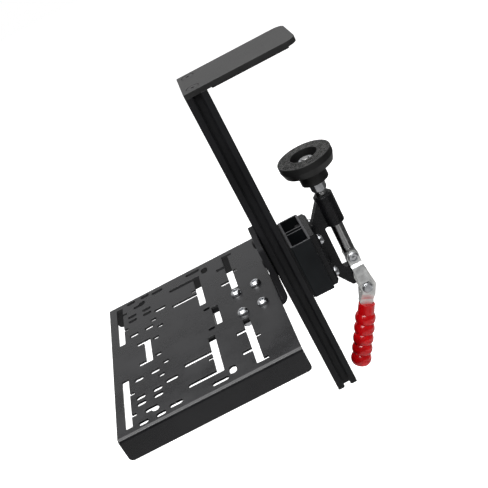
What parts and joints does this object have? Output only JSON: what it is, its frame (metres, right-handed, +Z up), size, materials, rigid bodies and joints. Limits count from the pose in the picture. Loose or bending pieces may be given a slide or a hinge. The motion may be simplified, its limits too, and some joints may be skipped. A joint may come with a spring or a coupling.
{
  "type": "shifter mount",
  "caption": "Desk-edge mount: slotted upright with a top arm and a toggle clamp, and a perforated shifter plate on its side.",
  "frame": {"origin": "middle of the underside of the arm's rubber pad, the face that lies on the desk", "axes": "+X from the upright towards the desk, +Y to the back, +Z up along the upright"},
  "size_m": [0.2774, 0.228, 0.3391],
  "materials": {
    "extrusion": "satin",
    "arm_coat": "satin",
    "plate_coat": "satin",
    "bracket_coat": "satin",
    "block_aluminium": "satin",
    "cast_body": "satin",
    "zinc": "satin",
    "black_screw": "satin",
    "pad_rubber": "matte",
    "foot_rubber": "matte",
    "grip_red": "gloss"
  },
  "bodies": {
    "frame": {"upright": "extrusion", "top_arm": "arm_coat", "arm_pad": "pad_rubber", "arm_screw_front": "black_screw", "arm_screw_back": "black_screw"},
    "plate_carriage": {"shifter_plate": "plate_coat", "plate_bracket": "bracket_coat", "plate_screws": "zinc", "plate_nuts": "zinc", "bracket_bolts": "black_screw", "bracket_t_nuts": "zinc"},
    "clamp_carriage": {"clamp_block": "block_aluminium", "block_spacer": "pad_rubber", "block_bolts": "black_screw", "block_t_nuts": "zinc", "clamp_body": "cast_body", "base_screws": "zinc", "base_nuts": "zinc", "fixed_pin": "zinc"},
    "plunger": {"plunger_rod": "zinc", "foot_pad": "foot_rubber", "foot_jam_nut": "zinc", "foot_top_nut": "zinc"},
    "handle": {"handle_lever": "zinc", "handle_grip": "grip_red", "link_pin": "zinc"},
    "link": {"link_plates": "zinc", "link_rivets": "zinc"}
  },
  "joints": [
    {"name": "plate_height", "type": "slide", "parent": "frame", "child": "plate_carriage", "axis": [0, 0, 1], "range_m": [-0.1, 0.09]},
    {"name": "clamp_height", "type": "slide", "parent": "frame", "child": "clamp_carriage", "axis": [0, 0, 1], "range_m": [-0.06, 0.055]},
    {"name": "handle_swing", "type": "hinge", "parent": "clamp_carriage", "child": "handle", "pos_m": [0.0098, 0, -0.2344], "axis": [0, -1, 0], "range_deg": [0, 170]},
    {"name": "plunger_slide", "type": "slide", "parent": "clamp_carriage", "child": "plunger", "axis": [0, 0, 1], "range_m": [0, 0.02869]},
    {"name": "link_swing", "type": "hinge", "parent": "handle", "child": "link", "pos_m": [0.0098, 0, -0.2489], "axis": [0, -1, 0], "range_deg": [-166.11, 0]}
  ],
  "couplings": [
    {"joint": "plunger_slide", "follows": "handle_swing", "m_per_rad": 0.0096708},
    {"joint": "link_swing", "follows": "handle_swing", "ratio": -0.97705}
  ]
}
